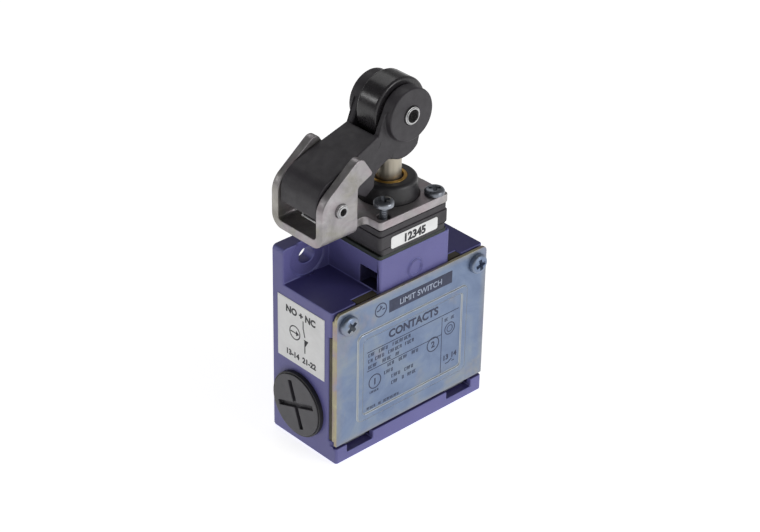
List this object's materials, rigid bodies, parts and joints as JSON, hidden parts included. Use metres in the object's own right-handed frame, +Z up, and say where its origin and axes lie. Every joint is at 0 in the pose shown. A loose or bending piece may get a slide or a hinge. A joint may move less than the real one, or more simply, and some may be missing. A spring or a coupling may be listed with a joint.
{
  "type": "limit switch",
  "caption": "Metal-cased limit switch with a roller lever over a spring-returned plunger, a screwed front cover, screwed cable entries and a rear flange with fixing slots.",
  "frame": {"origin": "centre of the bottom cable entry, on the casing's bottom face, which is also the centre of the casing's footprint", "axes": "+Z up towards the roller, -Y out of the front cover, +X to the right seen from the front; the lever's pivot is on the -X side"},
  "size_m": [0.0689, 0.032, 0.1194],
  "materials": {
    "casing_paint": "satin violet-blue paint on a die casting",
    "zinc_plate": "bluish passivated zinc plating",
    "bracket_steel": "matt tumbled zinc-plated steel",
    "pin_steel": "bright turned steel",
    "plunger_steel": "ground steel, warm tint",
    "black_plastic": "fine-grained black glass-filled polyamide",
    "roller_plastic": "smooth black acetal",
    "plug_plastic": "dark grey moulded plastic",
    "black_rubber": "black sealing rubber",
    "gasket_rubber": "olive grey gasket sheet",
    "label_white": "matt white label film",
    "brass": "satin brass",
    "contact_plastic": "amber moulded phenolic",
    "carrier_plastic": "natural white plastic",
    "contact_metal": "silver-plated contact metal"
  },
  "bodies": {
    "root": {"body_casing": "casing_paint", "cover_gasket": "gasket_rubber", "front_cover": "zinc_plate", "cover_screws": "zinc_plate", "cable_plug_left": "plug_plastic", "cable_plug_right": "plug_plastic", "plug_seals": "black_rubber", "side_label": "label_white", "head_gasket": "black_rubber", "head_block": "black_plastic", "head_cap": "black_plastic", "head_label": "label_white", "lever_bracket": "bracket_steel", "head_screws": "zinc_plate", "guide_boss": "black_plastic", "plunger_bush": "brass", "plunger_wiper": "black_rubber", "plunger_spring": "pin_steel", "pivot_pin": "pin_steel", "contact_base": "contact_plastic", "contact_cover": "plug_plastic", "contact_block_screws": "pin_steel", "terminal_plates": "contact_metal", "terminal_screws": "zinc_plate", "clamp_washers": "zinc_plate", "carrier_spring": "pin_steel", "earth_clamp": "zinc_plate", "earth_screw": "zinc_plate"},
    "lever": {"lever": "black_plastic", "lever_spring": "pin_steel", "roller_pin": "pin_steel"},
    "roller": {"roller": "roller_plastic"},
    "plunger": {"plunger": "plunger_steel"},
    "carrier": {"contact_carrier": "carrier_plastic", "contact_bridges": "contact_metal"}
  },
  "joints": [
    {"name": "lever_pivot", "type": "hinge", "parent": "root", "child": "lever", "pos_m": [-0.0275, -0.0001, 0.0885], "axis": [0, 1, 0], "range_deg": [0, 12], "stiffness_Nm_per_rad": 1.2, "springref_deg": -11.46},
    {"name": "roller_spin", "type": "hinge", "parent": "lever", "child": "roller", "pos_m": [0.0025, -0.0001, 0.10905], "axis": [0, 1, 0], "continuous": true},
    {"name": "plunger_slide", "type": "slide", "parent": "root", "child": "plunger", "axis": [0, 0, -1], "range_m": [0, 0.0066], "deforming": ["plunger_spring"]},
    {"name": "contact_slide", "type": "slide", "parent": "root", "child": "carrier", "axis": [0, 0, -1], "range_m": [0, 0.0066], "deforming": ["carrier_spring"]}
  ],
  "couplings": [
    {"joint": "plunger_slide", "follows": "lever_pivot", "m_per_rad": 0.0304},
    {"joint": "contact_slide", "follows": "lever_pivot", "m_per_rad": 0.0304}
  ]
}
